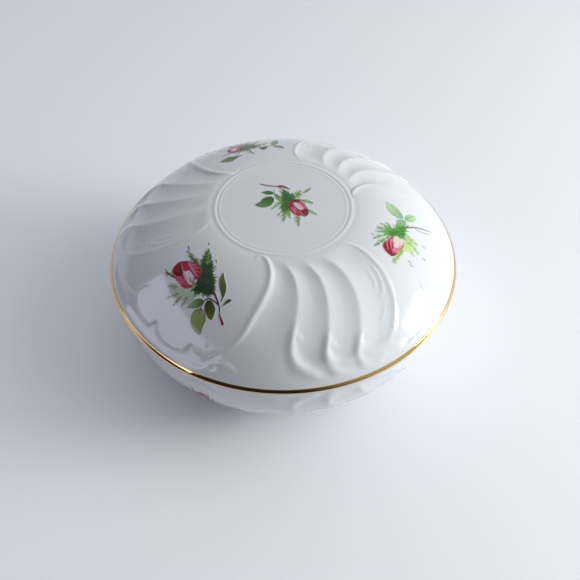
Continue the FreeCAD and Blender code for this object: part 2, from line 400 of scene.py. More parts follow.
def gold_material():
    """Polished fired gold."""
    material, shader = principled("fired_gold", (0.80, 0.54, 0.21), 0.07, metallic=1.0)
    links = material.node_tree.links
    links.new(noise(material, 260, 4, (0.72, 0.46, 0.16), (0.88, 0.62, 0.27)), shader.inputs["Base Color"])
    links.new(noise(material, 420, 3, 0.04, 0.10), shader.inputs["Roughness"])
    return material


porcelain = porcelain_material()
printed = print_material()
gold = gold_material()


# ================================================================ lid and bowl
def build_lid():
    """From the middle of the medallion, down to the edge and back up inside the hollow."""
    count = 720
    pitch = 1.0
    outs = np.r_[np.linspace(2, 19.4, 6), np.arange(19.8, 23.8, 0.2 * pitch),
                 np.arange(24.0, 40, 0.5 * pitch), np.arange(40.0, 56.8, 0.34 * pitch),
                 np.linspace(GOLD_OUT, RIM_OUT, 5)]
    rings = [ring_at(0, lid_surface([0.0])[1][0], 1)]
    rings += relief_rings(lid_surface, outs, count, True)
    for out, up in ((RIM_OUT + 0.05, RIM_LOW - 0.2), (RIM_OUT + 0.05, SEAT_UP + 0.5),
                    (RIM_OUT - 0.1, SEAT_UP + 0.12), (RIM_OUT - 0.4, SEAT_UP),
                    (LID_MOUTH + 0.2, SEAT_UP), (LID_MOUTH, SEAT_UP + 0.2),
                    (LID_MOUTH, SEAT_UP + LID_EDGE_HEIGHT - 0.2)):
        rings.append(ring_at(out, up, count))
    inner = SHOULDER[2] - SHELL
    start = math.acos((SEAT_UP + LID_EDGE_HEIGHT + 0.2 - SHOULDER[1]) / inner)
    for turn in np.linspace(start, 0, 10):
        out, up = SHOULDER[0] + inner * math.sin(turn), SHOULDER[1] + inner * math.cos(turn)
        rings.append(ring_at(out, up, count))
    rings.append(ring_at(8, SHOULDER[1] + inner, count))
    rings.append(ring_at(0, SHOULDER[1] + inner, 1))
    lid = revolved_shell("lid_porcelain", rings, porcelain)
    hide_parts("lid")
    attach(lid, "lid")


def build_bowl():
    """From the middle of the inside floor, over the lip and down the outside to the foot ring."""
    count = 480
    inner = BELLY_RADIUS - SHELL
    rings = [ring_at(0, BELLY_UP - inner, 1), ring_at(FLAT_OUT, BELLY_UP - inner, count)]
    for turn in np.linspace(0, math.pi / 2, 14):
        out, up = BELLY_OUT + inner * math.sin(turn), BELLY_UP - inner * math.cos(turn)
        rings.append(ring_at(out, up, count))
    for out, up in ((LIP_INNER + 0.4, LIP_UP - MOUTH_DEPTH - 0.2), (LIP_INNER, LIP_UP - MOUTH_DEPTH + 0.2),
                    (LIP_INNER, LIP_UP - 0.5), (LIP_INNER + 0.5, LIP_UP), (LIP_RADIUS - 0.5, LIP_UP),
                    (LIP_RADIUS, LIP_UP - 0.5), (LIP_RADIUS, SEAT_UP + 0.2), (LIP_RADIUS + 0.2, SEAT_UP),
                    (BOWL_RADIUS - 0.6, SEAT_UP), (BOWL_RADIUS - 0.15, SEAT_UP - 0.12)):
        rings.append(ring_at(out, up, count))
    turn_end = math.acos((FOOT_OUT + 0.4 - BELLY_OUT) / BELLY_RADIUS)
    low = WALL_TOP - (SEAT_UP - BELLY_UP + BELLY_RADIUS * turn_end) * BOWL_SCALE
    outs = np.arange(WALL_TOP - 0.4, low, -(0.42))
    rings += relief_rings(bowl_surface, outs, count, False)
    for out, up in ((FOOT_OUT + 0.1, 3.6), (FOOT_OUT, 3.0), (FOOT_OUT, 0.5), (FOOT_OUT - 0.5, 0.0),
                    (FOOT_IN + 0.5, 0.0), (FOOT_IN, 0.5), (FOOT_IN, FOOT_UNDER - 0.4),
                    (FOOT_IN - 0.4, FOOT_UNDER), (FLAT_OUT, FOOT_UNDER)):
        rings.append(ring_at(out, up, count))
    rings.append(ring_at(0, FOOT_UNDER, 1))
    bowl = revolved_shell("bowl_porcelain", rings[::-1], porcelain)
    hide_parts("bowl")
    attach(bowl, "bowl")


def build_band():
    """Fired gold over the lowest part of the lid's slope, hardly thicker than the glaze."""
    count = 720
    # from the upper edge to the lower one: share of the width, and height above the porcelain
    across = np.array([0, 0.005, 0.03, 0.15, 0.35, 0.5, 0.65, 0.85, 0.97, 0.995, 1])
    lift = np.array([-0.08, 0.08, 0.115, 0.125, 0.13, 0.13, 0.13, 0.125, 0.115, 0.08, -0.08])
    out, up, normal_out, normal_up = lid_surface(GOLD_OUT + (RIM_OUT - GOLD_OUT) * across)
    section = list(zip(out + normal_out * lift, up + normal_up * lift))
    points = np.vstack([ring_at(out, up, count) for out, up in section])
    around = np.arange(count)
    after = (around + 1) % count
    faces = []
    for row in range(len(section)):
        here, there = row * count, (row + 1) % len(section) * count
        faces += list(zip(here + around, here + after, there + after, there + around))
    band = new_mesh("lid_gold_band", points, faces, gold)
    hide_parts("lid_gilt_band")
    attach(band, "lid")


# ================================================================ printed roses
def ink(r, g, b):
    """Linear colour from an 0-255 swatch."""
    c = np.array([r, g, b]) / 255
    return np.where(c < 0.04045, c / 12.92, ((c + 0.055) / 1.055) ** 2.4)


DEEP_RED, CRIMSON, RED = ink(84, 0, 12), ink(140, 6, 30), ink(184, 30, 60)
ROSE, PETAL_LIGHT, BLUSH = ink(208, 104, 132), ink(226, 150, 166), ink(226, 204, 214)
BARK, RUST = ink(70, 34, 40), ink(146, 16, 34)
# MOSS_DARK is the left spray's moss green, darkened partly by painted shade from the lid's shaded left side
MOSS_DARK, MOSS, MOSS_LIGHT = ink(16, 52, 6), ink(56, 112, 20), ink(134, 172, 74)
OLIVE, SAGE, LIME = ink(74, 98, 22), ink(156, 176, 136), ink(182, 212, 112)


def in_outline(uu, vv, corners):
    """Which points lie inside a closed outline."""
    inside = np.zeros(uu.shape, bool)
    for (x0, y0), (x1, y1) in zip(corners, np.roll(corners, -1, 0)):
        crosses = (y0 > vv) != (y1 > vv)
        inside ^= crosses & (uu < (x1 - x0) * (vv - y0) / (y1 - y0 + 1e-12) + x0)
    return inside


def film_faces(quads, count):
    """Top, underside and edge walls of a film whose underside points follow the count top points."""
    edges = dict.fromkeys((p, q) for quad in quads for p, q in zip(quad, np.roll(quad, -1)))
    walls = [(q, p, p + count, q + count) for p, q in edges if (q, p) not in edges]
    return [tuple(q) for q in quads] + [tuple(q[::-1] + count) for q in quads] + walls


FILM_TOP, FILM_UNDER = 0.03, -0.05      # the print's two faces, above and below the glaze
PITCH = 0.14         # spacing of a spray's grid


class Spray:
    """A small painting on a fine grid of plan points, in millimetres about the spray's own centre."""

    def __init__(self, half_x, half_y, seed):
        self.u = np.arange(-half_x, half_x, PITCH)
        self.v = np.arange(-half_y, half_y, PITCH)
        self.color = np.full((len(self.v), len(self.u), 3), PORCELAIN)
        self.cover = np.zeros((len(self.v), len(self.u)))
        self.random = np.random.default_rng(seed)

    def window(self, low, high):
        """The part of the grid between two corners, and its plan coordinates."""
        i0, i1 = np.searchsorted(self.u, [low[0], high[0]])
        j0, j1 = np.searchsorted(self.v, [low[1], high[1]])
        area = (slice(max(j0 - 1, 0), j1 + 1), slice(max(i0 - 1, 0), i1 + 1))
        uu, vv = np.meshgrid(self.u[area[1]], self.v[area[0]])
        return area, uu, vv

    def blend(self, area, amount, color):
        """Lay a colour over part of the grid."""
        amount = np.clip(amount, 0, 1)
        self.color[area] = self.color[area] * (1 - amount[..., None]) + color * amount[..., None]
        self.cover[area] = np.maximum(self.cover[area], amount)

    def line(self, start, end, w0, w1, color, strength=1.0):
        """A straight stroke from half-width w0 to w1."""
        start, end = np.array(start, float), np.array(end, float)
        reach = max(w0, w1) + 2 * PITCH
        area, uu, vv = self.window(np.minimum(start, end) - reach, np.maximum(start, end) + reach)
        if not uu.size:
            return
        d = end - start
        t = np.clip(((uu - start[0]) * d[0] + (vv - start[1]) * d[1]) / max(d @ d, 1e-9), 0, 1)
        gap = np.hypot(uu - start[0] - t * d[0], vv - start[1] - t * d[1])
        width = w0 + (w1 - w0) * t
        self.blend(area, strength * (0.5 + (width - gap) / PITCH / 1.5), color)

    def stem(self, points, w0, w1, color):
        """A curved stroke from half-width w0 to w1."""
        curve = smooth_curve(points, 0.5)
        widths = np.linspace(w0, w1, len(curve))
        for a, b, wa, wb in zip(curve[:-1], curve[1:], widths[:-1], widths[1:]):
            self.line(a, b, wa, wb, color)

    def veins(self, *lines):
        """Fine strokes, each given as points and a colour."""
        for points, color in lines:
            self.stem(points, 0.1, 0.06, color)

    def patch(self, outline, start, end, degrees, streaks=0.1, rim=None, strength=1.0):
        """A rounded petal or leaf, shaded from start to end along a direction, with a darker rim."""
        corners = smooth_curve(list(outline) + [outline[0]], 0.3)
        area, uu, vv = self.window(corners.min(0) - 0.4, corners.max(0) + 0.4)
        gap = np.hypot(uu[..., None] - corners[:, 0], vv[..., None] - corners[:, 1]).min(-1)
        within = in_outline(uu, vv, corners)
        cover = np.clip(0.5 + np.where(within, gap, -gap) / PITCH / 1.6, 0, 1)
        turn = math.radians(degrees)
        along, across = uu * math.cos(turn) + vv * math.sin(turn), vv * math.cos(turn) - uu * math.sin(turn)
        low, high = along[within].min(), along[within].max()
        wave = 0.6 * np.sin(5.5 * across + 1.1 * np.sin(1.3 * along)) + 0.4 * np.sin(13 * across - along)
        shade = np.clip((along - low) / (high - low) + streaks * wave, 0, 1)
        self.blend(area, cover * strength, start + (end - start) * shade[..., None])
        if rim is not None:
            self.blend(area, cover * np.clip(1 - gap / 0.32, 0, 1) * 0.7 * strength, rim)

    def frond(self, base, tip, width, dark, light, bristles=26):
        """A feathery sprig of moss."""
        base, tip = np.array(base, float), np.array(tip, float)
        along = tip - base
        length = np.hypot(*along)
        along = along / length
        across = np.array([-along[1], along[0]])
        self.line(base, tip, 0.17, 0.06, dark)
        for index in range(bristles):
            t = self.random.random() ** 0.8
            side = 1 if index % 2 else -1
            root = base + along * length * t
            reach = width * (1.05 - t) * (0.45 + 0.55 * self.random.random()) + 0.25
            lean = 0.5 + 0.6 * self.random.random()
            end = root + (across * side + along * lean) * reach * 0.75
            mix = self.random.random()
            self.line(root, end, 0.14, 0.04, dark * (1 - mix) + light * mix, 0.9)

    def moss(self, outline, dark, light, spikes=60, strands=70):
        """A dense clump of moss: a filled shape with bristles round its edge."""
        corners = smooth_curve(list(outline) + [outline[0]], 0.45)
        area, uu, vv = self.window(corners.min(0) - 0.4, corners.max(0) + 0.4)
        inside = in_outline(uu, vv, corners)
        self.blend(area, inside * 1.0, dark)
        centre = corners.mean(0)
        for _ in range(spikes):
            root = corners[self.random.integers(len(corners))]
            out = (root - centre) / max(np.hypot(*(root - centre)), 0.1)
            swing = self.random.normal(0, 0.45, 2)
            end = root + (out + swing) * (0.35 + 0.75 * self.random.random())
            mix = self.random.random() * 0.7
            self.line(root - out * 0.3, end, 0.2, 0.05, dark * (1 - mix) + light * mix)
        rows, columns = np.nonzero(inside)
        for _ in range(strands if len(rows) else 0):
            pick = self.random.integers(len(rows))
            root = np.array([uu[rows[pick], columns[pick]], vv[rows[pick], columns[pick]]])
            swing = self.random.normal(0, 0.45, 2) + (root - centre) * 0.12
            mix = self.random.random() ** 2
            self.line(root, root + swing, 0.11, 0.05, dark * (1 - mix) + light * mix, 0.85)

    def painted_cells(self):
        """The grid cells to keep: all painted ones and their neighbours."""
        used = self.cover > 0.02
        near = used.copy()
        near[1:] |= used[:-1]
        near[:-1] |= used[1:]
        near[:, 1:] |= near[:, :-1].copy()
        near[:, :-1] |= near[:, 1:].copy()
        return near[:-1, :-1] & near[1:, :-1] & near[:-1, 1:] & near[1:, 1:]

    def mesh(self, name, surface, centre, degrees, size, body):
        """The painted cells as a thin film on the glaze."""
        ny, nx = self.cover.shape
        cell = self.painted_cells()
        corner = np.zeros((ny, nx), bool)
        for dj in (0, 1):
            for di in (0, 1):
                corner[dj:ny - 1 + dj, di:nx - 1 + di] |= cell
        index = np.full((ny, nx), -1)
        index[corner] = np.arange(corner.sum())
        rows, columns = np.nonzero(corner)
        x, y = turned(self.u[columns] * size, self.v[rows] * size, degrees)
        x, y = x + centre[0], y + centre[1]
        height = relief(x, y, surface is lid_surface)
        top = place(surface, x, y, height + FILM_TOP)
        under = place(surface, x, y, height + FILM_UNDER)
        j, i = np.nonzero(cell)
        quads = np.c_[index[j, i], index[j, i + 1], index[j + 1, i + 1], index[j + 1, i]]
        obj = new_mesh(name, np.vstack([top, under]), film_faces(quads, len(top)), printed)
        colors = np.ones((2 * len(top), 4))
        colors[:len(top), :3] = colors[len(top):, :3] = self.color[rows, columns]
        layer = obj.data.color_attributes.new("ink", "FLOAT_COLOR", "POINT")
        layer.data.foreach_set("color", colors.ravel())
        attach(obj, body)


def large_rose():
    """Bud to the upper left, dark moss beside it, five leaves and a stem with a red tip. The moss is painted
    darker than on the other sprays: partly its own dark green, partly painted shade from the lid's shaded
    left side.
    """
    s = Spray(12.5, 17, seed=11)
    s.patch([(-8.8, 1.2), (-7.0, 0.0), (-5.0, -1.6), (-3.0, -2.6), (-0.5, -2.8), (0.2, -4.2),
             (-1.0, -6.0), (-2.8, -6.8), (-4.8, -5.2), (-6.4, -5.4), (-7.0, -3.6), (-8.8, -2.0)],
             SAGE * 0.75, SAGE, 200, strength=0.6)
    for root, tip in (((-6.4, -1.0), (-9.4, 0.4)), ((-5.8, -3.2), (-9.6, -3.0)),
                      ((-5.0, -4.0), (-7.4, -5.8)), ((-3.0, -4.6), (-4.6, -6.8)),
                      ((-8.4, 3.0), (-10.6, 4.8))):
        s.frond(root, tip, 1.1, SAGE * 0.55, SAGE * 0.9, 22)
    s.patch([(2.3, -7.0), (1.0, -6.0), (-0.5, -6.0), (-2.0, -6.8), (-3.2, -7.5), (-1.5, -8.2),
             (0.0, -8.5), (1.2, -8.2)], OLIVE * 0.6, SAGE, 185, rim=OLIVE)
    # painted shade: these moss greens are darker than on the other sprays, partly the moss's own colour and
    # partly the shade of the lid's left side
    s.frond((0.4, 3.8), (-4.0, 10.2), 2.3, MOSS_DARK, MOSS_LIGHT, 54)
    s.frond((0.2, 3.0), (-3.2, 8.4), 2.1, MOSS_DARK, MOSS, 50)
    s.frond((1.6, 5.0), (2.7, 9.6), 2.0, MOSS_DARK, MOSS_LIGHT, 50)
    s.moss([(2.0, 8.0), (1.2, 5.6), (0.6, 1.5), (-0.6, -1.8), (-1.2, -3.6), (1.0, -4.4), (3.4, -5.6),
            (5.0, -5.0), (4.8, -1.0), (4.3, 1.6), (4.0, 4.4), (3.2, 7.6)], MOSS_DARK * 0.9, MOSS, 130, 70)
    s.frond((2.6, 4.0), (2.9, 9.8), 1.6, MOSS, MOSS_LIGHT, 44)
    s.frond((-0.2, -1.4), (-2.2, -2.4), 1.0, MOSS_DARK, MOSS_LIGHT, 20)
    for x, y in ((2.6, 12.2), (-3.7, 12.0), (-3.5, 11.2), (5.2, 5.4)):
        s.line((x, y), (x + 0.15, y - 0.8), 0.16, 0.2, MOSS * 0.8)
    s.stem([(-10.6, 6.0), (-9.8, 4.4), (-8.6, 3.2), (-7.4, 2.2)], 0.12, 0.2, MOSS * 0.7)
    s.frond((-7.6, 2.4), (-9.4, 4.4), 0.6, MOSS_DARK, MOSS_LIGHT, 12)
    s.patch([(-8.6, 4.5), (-7.8, 5.8), (-6.5, 6.8), (-5.0, 6.9), (-3.2, 6.5), (-1.5, 5.5), (0.0, 4.2),
             (0.9, 2.8), (1.1, 1.6), (0.0, -0.2), (-1.4, -1.2), (-2.2, -2.3), (-3.5, -2.3), (-5.0, -1.3),
             (-6.2, 0.2), (-7.2, 1.8), (-8.2, 3.0)], RED, CRIMSON, 150, streaks=0.2)
    s.patch([(-5.0, 3.2), (-3.8, 3.7), (-2.4, 3.4), (-1.2, 2.2), (-0.4, 0.8), (-0.4, -0.6), (-1.6, -1.3),
             (-2.8, -1.3), (-3.8, 0.0), (-4.6, 1.5)], BLUSH * 0.75, BLUSH, 140, streaks=0.2)
    s.patch([(-3.2, 6.2), (-1.6, 5.3), (-0.1, 3.9), (0.8, 2.4), (0.8, 1.2), (-0.1, -0.4), (-0.9, 0.3),
             (-2.0, 2.2), (-3.2, 3.6), (-3.8, 4.8)], CRIMSON, ROSE, 165, streaks=0.35, rim=CRIMSON)
    s.patch([(-8.6, 4.5), (-7.8, 5.8), (-6.5, 6.8), (-5.4, 6.9), (-5.1, 5.0), (-4.8, 3.0), (-5.2, 1.8),
             (-6.5, 2.0), (-7.8, 3.0)], DEEP_RED, CRIMSON, 120, streaks=0.3, rim=DEEP_RED * 0.6)
    s.patch([(-7.6, 2.4), (-6.4, 2.0), (-5.2, 1.8), (-4.2, 0.6), (-3.2, -0.8), (-2.0, -1.8), (-2.4, -2.3),
             (-3.6, -2.2), (-5.0, -1.3), (-6.2, 0.2)], ROSE * 0.9, RED, -55, streaks=0.35, rim=DEEP_RED)
    s.patch([(-5.2, 6.8), (-3.8, 6.6), (-3.2, 5.2), (-2.4, 3.8), (-3.2, 3.4), (-4.4, 3.4), (-5.0, 4.8)],
             CRIMSON, RED, -60, streaks=0.2, rim=DEEP_RED)
    s.veins(([(-8.4, 4.6), (-7.8, 3.2), (-6.4, 2.1), (-5.2, 1.9)], PETAL_LIGHT),
            ([(-5.6, 6.4), (-5.0, 4.4), (-4.6, 2.6), (-3.9, 0.8), (-3.0, -1.0)], PETAL_LIGHT),
            ([(-3.4, 6.2), (-2.6, 4.4), (-1.4, 2.6), (-0.4, 0.8)], PETAL_LIGHT),
            ([(-3.6, 4.6), (-2.2, 2.6), (-1.2, 1.0), (-0.8, -0.2)], DEEP_RED),
            ([(-5.3, 3.6), (-4.6, 1.8), (-3.6, -0.2), (-2.4, -1.6)], DEEP_RED),
            ([(-6.8, 6.0), (-6.6, 4.6), (-6.0, 3.2)], RED),
            ([(-4.4, 2.8), (-3.4, 0.6)], ROSE),
            ([(0.2, 3.2), (0.3, 1.8), (-0.1, 0.6)], DEEP_RED),
            ([(-6.4, 0.8), (-5.0, -0.8)], PETAL_LIGHT))
    for start, end in (((-1.8, -0.6), (-0.2, -2.2)), ((-1.2, 0.4), (-1.6, -1.6)),
                       ((-2.2, -0.4), (-2.6, 0.8))):
        s.line(start, end, 0.2, 0.12, ink(110, 96, 44))
    s.patch([(1.2, -8.8), (-0.5, -8.8), (-1.5, -9.8), (-1.8, -11.5), (-1.2, -13.2), (0.0, -14.5),
             (1.2, -15.2), (2.0, -13.5), (2.8, -12.0), (2.4, -10.5)], ink(150, 158, 108),
             ink(128, 146, 74), -70, rim=OLIVE)
    s.patch([(3.0, -7.0), (2.2, -8.5), (2.8, -10.5), (3.8, -12.0), (4.6, -12.3), (5.4, -11.0),
             (5.6, -9.5), (5.0, -8.2), (4.2, -7.2)], ink(48, 46, 14), ink(94, 108, 20), -70,
             rim=OLIVE * 0.5)
    s.patch([(7.1, -8.2), (7.4, -6.5), (6.8, -4.5), (6.4, -2.0), (6.8, -0.5), (7.7, 0.7), (8.0, -1.0),
             (8.6, -3.0), (8.7, -5.0), (8.2, -6.5), (7.4, -8.0)], ink(44, 70, 8), ink(98, 118, 26), 60,
             rim=OLIVE * 0.6)
    s.patch([(7.4, -9.5), (8.2, -8.5), (9.0, -7.7), (9.8, -7.6), (10.4, -8.0), (9.6, -8.6), (8.6, -9.0)],
             ink(84, 116, 26), ink(40, 74, 14), 20)
    s.stem([(4.8, -4.6), (5.9, -7.0), (6.8, -9.5), (6.9, -11.4)], 0.34, 0.16, BARK)
    s.stem([(6.6, -8.9), (5.0, -7.4), (3.6, -6.6), (2.4, -6.8)], 0.2, 0.22, BARK * 1.4)
    s.stem([(2.3, -6.9), (1.2, -8.7), (0.7, -10.4)], 0.16, 0.06, BARK)
    s.stem([(1.2, -8.7), (2.4, -10.0), (2.8, -12.2)], 0.12, 0.06, BARK * 1.3)
    s.stem([(1.2, -8.7), (-0.6, -9.3)], 0.12, 0.05, BARK * 1.3)
    s.stem([(7.4, -6.4), (7.6, -3.4), (7.6, -1.0)], 0.1, 0.05, OLIVE * 0.5)
    s.stem([(6.9, -11.4), (7.4, -12.8), (7.9, -13.9)], 0.22, 0.4, RUST)
    return s


def small_rose():
    """Bud to the lower right, three leaves on the left and a long stem with a red leaf above."""
    s = Spray(12, 12, seed=23)
    for root, tip, width in (((3.0, 2.6), (9.0, 8.2), 1.9), ((3.4, 3.4), (5.6, 6.8), 1.6),
                             ((5.0, 2.6), (9.6, 0.8), 1.7), ((7.2, -2.0), (10.6, -4.4), 0.8),
                             ((4.4, -4.6), (5.0, -9.6), 1.7)):
        s.frond(root, tip, width, MOSS, MOSS_LIGHT, 44)
    s.moss([(0.0, 7.0), (1.6, 5.6), (3.0, 4.2), (3.4, 2.2), (2.2, 0.0), (1.6, -3.4), (0.4, -3.8),
            (-0.6, -1.2), (-0.4, 2.0), (-0.2, 4.6)], ink(28, 88, 10), ink(84, 144, 40), 110, 110)
    s.frond((0.8, -2.6), (0.1, -7.8), 1.7, MOSS, MOSS_LIGHT, 50)
    s.frond((1.5, -2.6), (2.2, -6.2), 1.1, MOSS, MOSS_LIGHT, 30)
    s.frond((0.0, 1.4), (-3.6, -2.0), 1.5, MOSS, MOSS_LIGHT, 36)
    s.line((-1.2, -4.4), (-1.6, -5.2), 0.22, 0.16, MOSS)
    s.patch([(3.4, 2.3), (4.5, 2.6), (5.5, 2.0), (6.8, 0.5), (7.6, -1.2), (8.0, -3.0), (7.9, -4.5),
             (7.0, -5.5), (5.8, -5.1), (4.5, -5.2), (3.3, -4.3), (2.2, -2.8), (1.5, -1.2), (1.8, 0.5),
             (2.6, 1.7)], CRIMSON, RED, -60, streaks=0.3, rim=DEEP_RED)
    s.patch([(5.0, 2.0), (6.4, 0.9), (7.3, -0.6), (7.6, -1.8), (6.8, -1.8), (5.8, -0.6), (4.8, 0.6)], RED,
             ROSE, -50, streaks=0.4)
    s.patch([(3.0, 0.6), (4.0, 1.2), (5.2, 0.4), (6.2, -0.8), (6.4, -2.2), (5.2, -2.4), (4.1, -1.4),
             (3.3, -0.4)], BLUSH * 0.85, BLUSH, -40, streaks=0.2, rim=ROSE)
    s.patch([(3.2, -1.2), (4.0, -1.8), (4.4, -3.0), (4.2, -4.2), (3.6, -3.6), (3.0, -2.2)], ROSE, RED,
             -80, streaks=0.3)
    s.patch([(6.4, -2.2), (7.4, -2.2), (8.0, -3.2), (7.8, -4.6), (6.8, -5.2), (5.8, -4.2), (5.4, -3.0)],
             DEEP_RED, CRIMSON, -30, streaks=0.3, rim=DEEP_RED * 0.6)
    s.patch([(3.0, 2.0), (4.4, 2.5), (5.4, 1.8), (4.8, 1.0), (3.6, 1.2)], DEEP_RED, CRIMSON, -20)
    s.patch([(-2.8, 5.3), (-3.8, 6.3), (-5.0, 6.7), (-6.0, 6.4), (-7.0, 5.9), (-6.0, 5.1), (-5.0, 4.7),
             (-3.8, 4.8)], ink(56, 122, 24), ink(24, 84, 12), -10)
    s.patch([(-2.7, 5.2), (-1.5, 4.5), (-0.8, 3.2), (-0.5, 1.8), (-1.2, 1.6), (-2.0, 2.5), (-2.7, 3.8)],
             ink(84, 124, 34), ink(134, 166, 76), -60, rim=MOSS)
    s.patch([(-3.1, 3.2), (-4.0, 3.8), (-5.5, 3.6), (-6.5, 2.8), (-7.4, 1.2), (-9.0, 0.0), (-8.2, -0.7),
             (-7.0, -1.3), (-5.5, -1.3), (-4.0, -0.5), (-3.2, 0.8), (-2.9, 2.2)], ink(26, 84, 12),
             ink(92, 138, 44), -120, streaks=0.12, rim=MOSS_DARK)
    s.veins(([(2.6, -1.4), (3.2, -2.8), (4.0, -4.2)], PETAL_LIGHT),
            ([(2.0, 0.2), (2.2, -1.4)], DEEP_RED),
            ([(5.4, 2.0), (6.6, 0.6), (7.4, -1.0)], PETAL_LIGHT),
            ([(4.2, 1.3), (5.6, -1.6)], ROSE),
            ([(3.1, 0.6), (3.6, -0.8), (4.4, -1.8), (5.2, -2.5)], DEEP_RED),
            ([(4.9, 1.2), (6.2, -1.4)], ROSE),
            ([(5.3, -3.0), (6.2, -4.4), (7.2, -5.2)], PETAL_LIGHT),
            ([(4.4, -2.8), (5.0, -4.6)], RED))
    s.stem([(-2.9, 7.0), (-2.9, 5.4), (-2.6, 4.4)], 0.08, 0.14, MOSS)
    s.stem([(-3.0, 3.2), (-5.6, 1.8), (-8.6, 0.2)], 0.1, 0.05, MOSS_DARK * 2)
    s.stem([(0.2, 6.6), (-0.6, 7.6), (-1.6, 8.6), (-2.6, 8.9), (-5.4, 9.3), (-7.4, 10.1)], 0.26, 0.2,
            BARK)
    s.patch([(-1.5, 8.4), (0.0, 8.1), (1.2, 7.6), (2.2, 6.7), (0.6, 6.9), (-0.6, 7.5)],
             ink(216, 176, 164), ink(222, 206, 170), -40, strength=0.8)
    s.patch([(-2.4, 8.9), (-1.2, 9.5), (0.2, 9.2), (1.2, 8.5), (2.4, 7.2), (1.1, 7.7), (-0.2, 8.2),
             (-1.4, 8.4)], ink(150, 70, 72), ink(96, 28, 38), 0)
    return s


def pale_rose():
    """Bud pointing down with moss round it, three light leaves above and a thin stem."""
    s = Spray(14, 14.5, seed=37)
    for root, tip, width in (((2.0, -1.6), (6.6, -5.6), 2.4), ((2.2, -0.6), (6.4, -2.2), 1.9),
                             ((1.6, -3.4), (4.8, -7.0), 1.6), ((1.6, -5.0), (-2.0, -12.4), 1.6)):
        s.frond(root, tip, width, ink(120, 168, 64), LIME, 56)
    s.patch([(2.0, -3.8), (3.4, -3.6), (4.8, -5.0), (3.2, -6.2), (1.4, -7.0), (1.0, -5.6)], LIME,
             ink(206, 226, 150), 20, strength=0.7)
    s.frond((-1.2, -0.6), (-7.8, -7.8), 2.1, ink(44, 124, 34), MOSS_LIGHT, 64)
    s.frond((-1.6, 0.2), (-6.6, -0.4), 1.9, ink(44, 124, 34), MOSS_LIGHT, 40)
    for tip in ((-3.4, 2.8), (-5.2, 2.0), (-7.4, -2.0), (-8.2, -5.0), (0.2, 3.4)):
        s.frond((-1.4, -0.6), tip, 1.6, ink(56, 136, 44), MOSS_LIGHT, 36)
    s.frond((0.8, -7.0), (-2.4, -12.0), 1.2, OLIVE * 1.6, LIME, 44)
    s.moss([(3.0, 3.4), (2.6, 1.6), (2.2, -0.6), (0.8, -2.2), (-1.4, -2.4), (-3.4, -2.2), (-3.2, -0.6),
            (-1.2, 0.4), (0.2, 1.8), (1.4, 3.0)], ink(48, 124, 30), ink(116, 184, 80), 80, 90)
    for x, y in ((-8.6, -3.2), (3.0, -9.8), (3.4, -10.8), (8.0, -6.2), (-6.4, 0.4), (8.2, -1.6)):
        s.line((x, y), (x + 0.7, y - 0.3), 0.12, 0.1, MOSS * 1.2)
    s.patch([(-3.0, -3.5), (-4.7, -5.5), (-5.4, -7.0), (-4.7, -8.8), (-3.5, -9.8), (-2.7, -10.2),
             (-1.5, -9.5), (-0.5, -8.0), (0.8, -6.2), (1.5, -4.5), (0.8, -2.8), (-1.0, -2.0),
             (-2.0, -2.4)], RED, CRIMSON, -120, streaks=0.3, rim=CRIMSON)
    s.patch([(-1.6, -2.3), (-0.2, -1.8), (1.2, -3.0), (1.4, -4.4), (0.4, -5.8), (-0.8, -6.6),
             (-1.8, -6.6), (-2.2, -4.8)], ink(214, 222, 186), ink(236, 206, 214), -60, streaks=0.3,
             rim=ROSE, strength=0.9)
    s.patch([(0.0, -4.8), (1.0, -5.0), (0.3, -6.8), (-0.6, -8.2), (-1.5, -8.8), (-2.2, -7.8),
             (-2.0, -6.8), (-0.8, -6.7)], ink(216, 168, 186), ROSE, -110, streaks=0.3)
    s.patch([(-3.0, -3.8), (-2.2, -3.4), (-1.9, -4.8), (-2.2, -6.4), (-3.0, -6.0)], ROSE, RED, -90,
             streaks=0.2)
    s.patch([(2.3, 6.7), (2.3, 8.0), (1.8, 9.5), (0.8, 11.2), (-0.5, 12.3), (-2.0, 12.4), (-2.7, 13.0),
             (-2.8, 11.5), (-2.8, 9.8), (-2.0, 8.0), (-0.5, 6.8), (1.0, 6.3)], ink(84, 164, 70),
             ink(172, 212, 124), 125, streaks=0.12, rim=ink(92, 156, 66), strength=0.75)
    s.patch([(2.8, 6.7), (3.0, 8.0), (3.7, 9.2), (5.0, 10.2), (6.8, 10.6), (7.0, 9.5), (6.2, 7.7),
             (5.0, 6.7), (4.0, 6.4)], ink(92, 168, 70), ink(178, 216, 132), 45, streaks=0.08,
             rim=ink(110, 176, 80), strength=0.75)
    s.patch([(3.1, 6.2), (1.8, 6.2), (0.5, 5.5), (-0.1, 4.2), (0.1, 2.8), (1.5, 3.0), (2.8, 4.0),
             (3.3, 5.2)], ink(54, 134, 52), ink(96, 176, 84), -120, rim=ink(50, 130, 60), strength=0.75)
    s.veins(([(-3.6, -4.2), (-4.0, -6.0), (-3.6, -8.0)], PETAL_LIGHT),
            ([(-4.6, -6.0), (-4.4, -8.0)], DEEP_RED),
            ([(-2.6, -4.0), (-2.7, -6.4), (-2.2, -8.8)], PETAL_LIGHT),
            ([(-1.7, -4.6), (-2.0, -6.4)], CRIMSON),
            ([(0.3, -6.6), (-0.8, -6.9), (-1.8, -6.6)], CRIMSON),
            ([(-3.2, -6.0), (-3.0, -9.2)], DEEP_RED))
    s.stem([(2.4, 7.0), (0.6, 9.6), (-2.2, 12.6)], 0.1, 0.05, MOSS)
    s.stem([(3.0, 6.8), (4.8, 9.0), (6.4, 10.2)], 0.1, 0.05, MOSS)
    s.stem([(1.5, 2.5), (3.8, 3.6), (5.8, 4.8), (9.0, 6.0), (12.3, 7.2)], 0.3, 0.12, ink(104, 112, 72))
    s.stem([(5.8, 4.8), (7.2, 4.2), (9.8, 4.8), (11.6, 5.6)], 0.12, 0.08, ink(140, 142, 128))
    return s


